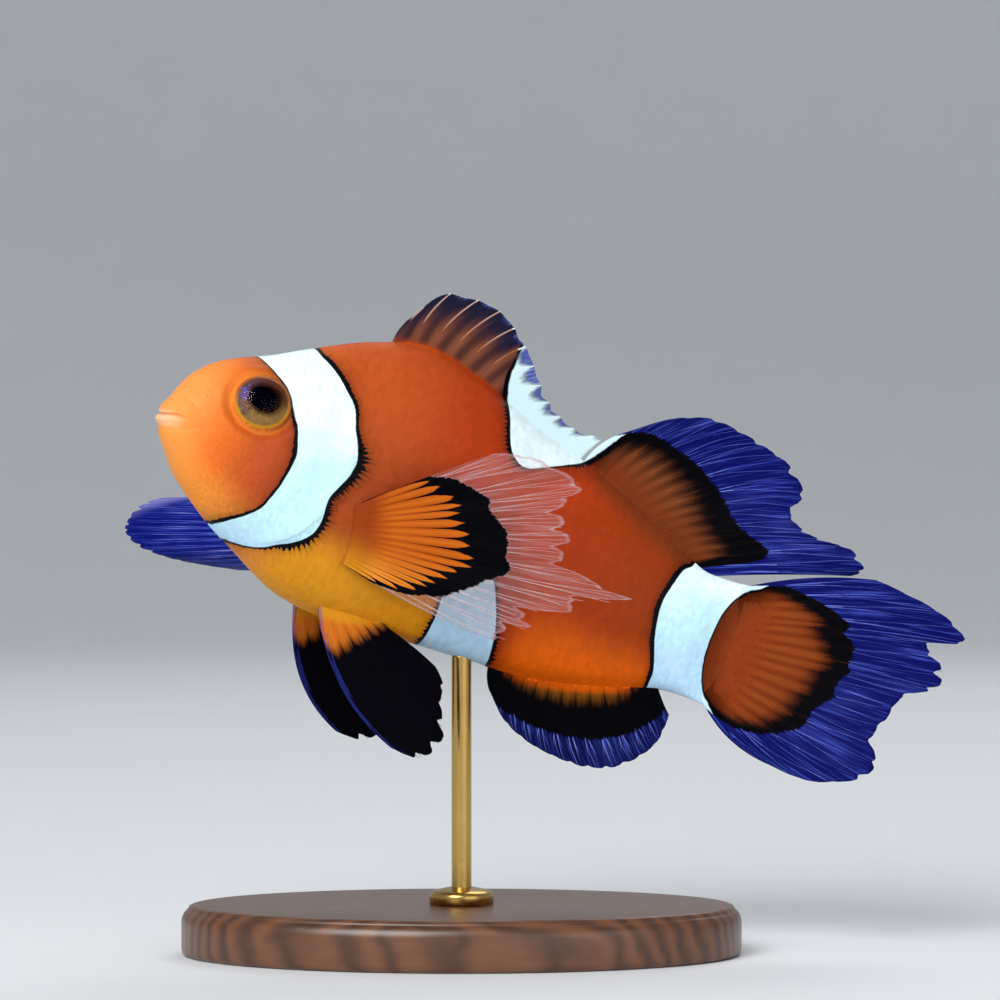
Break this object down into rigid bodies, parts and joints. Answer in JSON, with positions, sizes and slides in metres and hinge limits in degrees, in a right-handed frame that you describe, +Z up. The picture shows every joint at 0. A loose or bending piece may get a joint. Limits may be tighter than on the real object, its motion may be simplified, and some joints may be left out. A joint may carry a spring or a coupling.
{
  "type": "clownfish",
  "caption": "Life-size museum model of a banded clownfish with long trailing fins, swimming nose-up with its tail swung, on a rod and an oval base.",
  "frame": {"origin": "centre of the flat underside of the stand's base, straight below the rod", "axes": "+Z up, +X towards the fish's tail, and the fish's left flank faces -Y"},
  "size_m": [0.0862, 0.0382, 0.066],
  "materials": {
    "face_skin": "satin scaled skin, yellow-orange to orange-red",
    "orange_skin": "satin scaled skin, deep orange with a golden belly",
    "white_skin": "satin scaled skin, cool white edged with black",
    "dark_fin": "thin rayed fin, black over an orange foot",
    "orange_fin": "thin rayed fin, orange, then black, then a clear margin",
    "clear_fin": "thin rayed fin with a clear bluish margin",
    "eye": "glass eye, black pupil in a grey-brown iris with a gold rim",
    "base_wood": "oiled dark hardwood, fine grain",
    "rod_brass": "brushed brass"
  },
  "bodies": {
    "root": {"head": "face_skin", "lower_jaw": "face_skin", "gill_cover_left": "white_skin", "gill_cover_right": "white_skin", "trunk_front": "orange_skin", "trunk_rear": "orange_skin", "tail_stem": "white_skin", "dorsal_fin_spiny": "dark_fin", "dorsal_fin_soft": "clear_fin", "anal_fin": "dark_fin", "caudal_fin": "clear_fin", "pectoral_fin_left": "orange_fin", "pectoral_fin_right": "orange_fin", "pelvic_fin_left": "dark_fin", "pelvic_fin_right": "dark_fin", "eye_left": "eye", "eye_right": "eye", "stand_base": "base_wood", "stand_collar": "rod_brass", "stand_rod": "rod_brass"}
  },
  "joints": []
}
